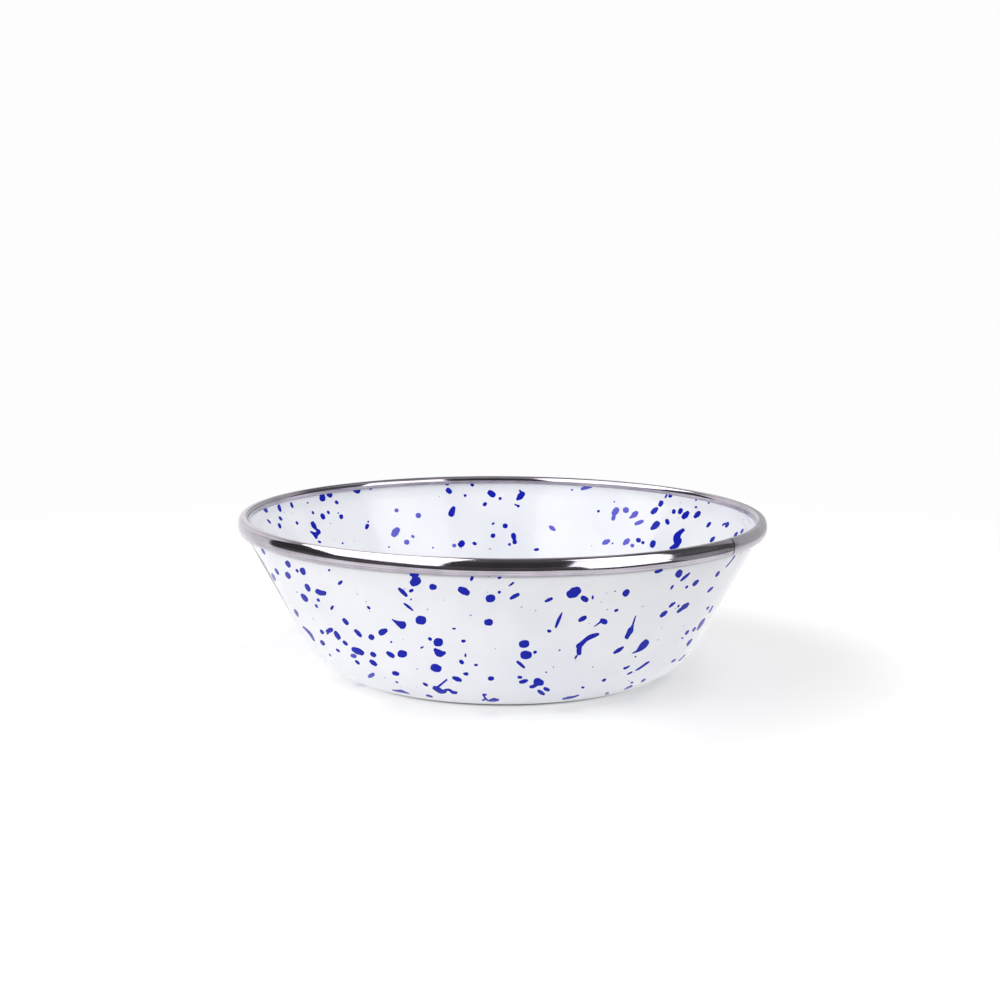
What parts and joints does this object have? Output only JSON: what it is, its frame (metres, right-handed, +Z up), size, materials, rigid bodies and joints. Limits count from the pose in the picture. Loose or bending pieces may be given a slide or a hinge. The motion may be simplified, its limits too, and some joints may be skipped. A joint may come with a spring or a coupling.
{
  "type": "enamel basin bowl",
  "caption": "Round enamelled steel basin bowl with flared sides, a flat standing ring, a folded lip and a polished stainless rim; holds food or water.",
  "frame": {"origin": "centre of the base, on the surface that the bowl stands on", "axes": "+Z up along the bowl's axis of revolution; -Y faces the camera of the picture, +X to its right"},
  "size_m": [0.2, 0.2, 0.062],
  "materials": {
    "sheet_steel": "satin",
    "ground_enamel": "gloss",
    "white_enamel": "gloss",
    "cobalt_enamel": "gloss",
    "stainless_steel": "polished"
  },
  "bodies": {
    "root": {"steel_bowl": "sheet_steel", "ground_coat_inside": "ground_enamel", "ground_coat_outside": "ground_enamel", "cover_coat_inside": "white_enamel", "cover_coat_outside": "white_enamel", "rim_band": "stainless_steel"}
  },
  "joints": []
}
